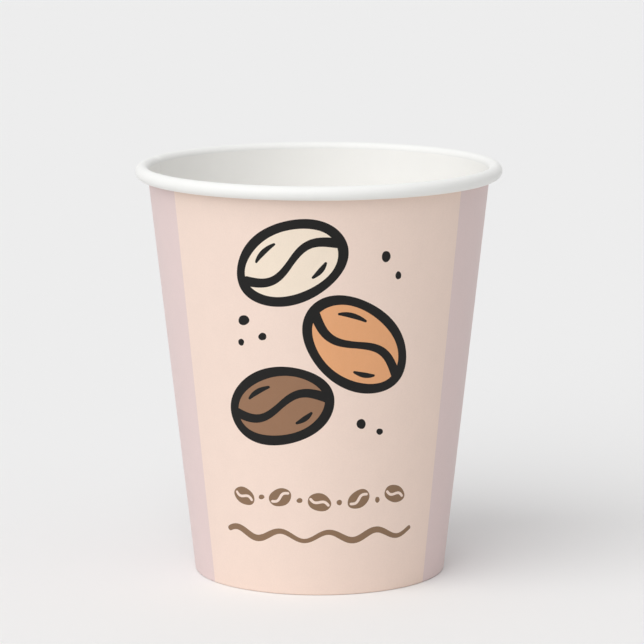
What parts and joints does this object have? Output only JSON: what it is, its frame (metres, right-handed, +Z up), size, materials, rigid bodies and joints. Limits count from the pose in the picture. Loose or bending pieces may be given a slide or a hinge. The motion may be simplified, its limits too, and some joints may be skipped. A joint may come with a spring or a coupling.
{
  "type": "paper coffee cup",
  "caption": "Tapered single-wall paper cup for hot drinks, with a rolled rim, a lapped side seam and a raised base sealed into the folded foot; printed peach panel on lilac.",
  "frame": {"origin": "centre of the foot, in the plane of the table", "axes": "+Z up along the cup's axis, out of the mouth; -Y is the front, the middle of the peach panel"},
  "size_m": [0.08, 0.08, 0.09],
  "materials": {
    "printed_board": "satin",
    "base_board": "satin"
  },
  "bodies": {
    "root": {"side_wall": "printed_board", "base_disc": "base_board"}
  },
  "joints": []
}
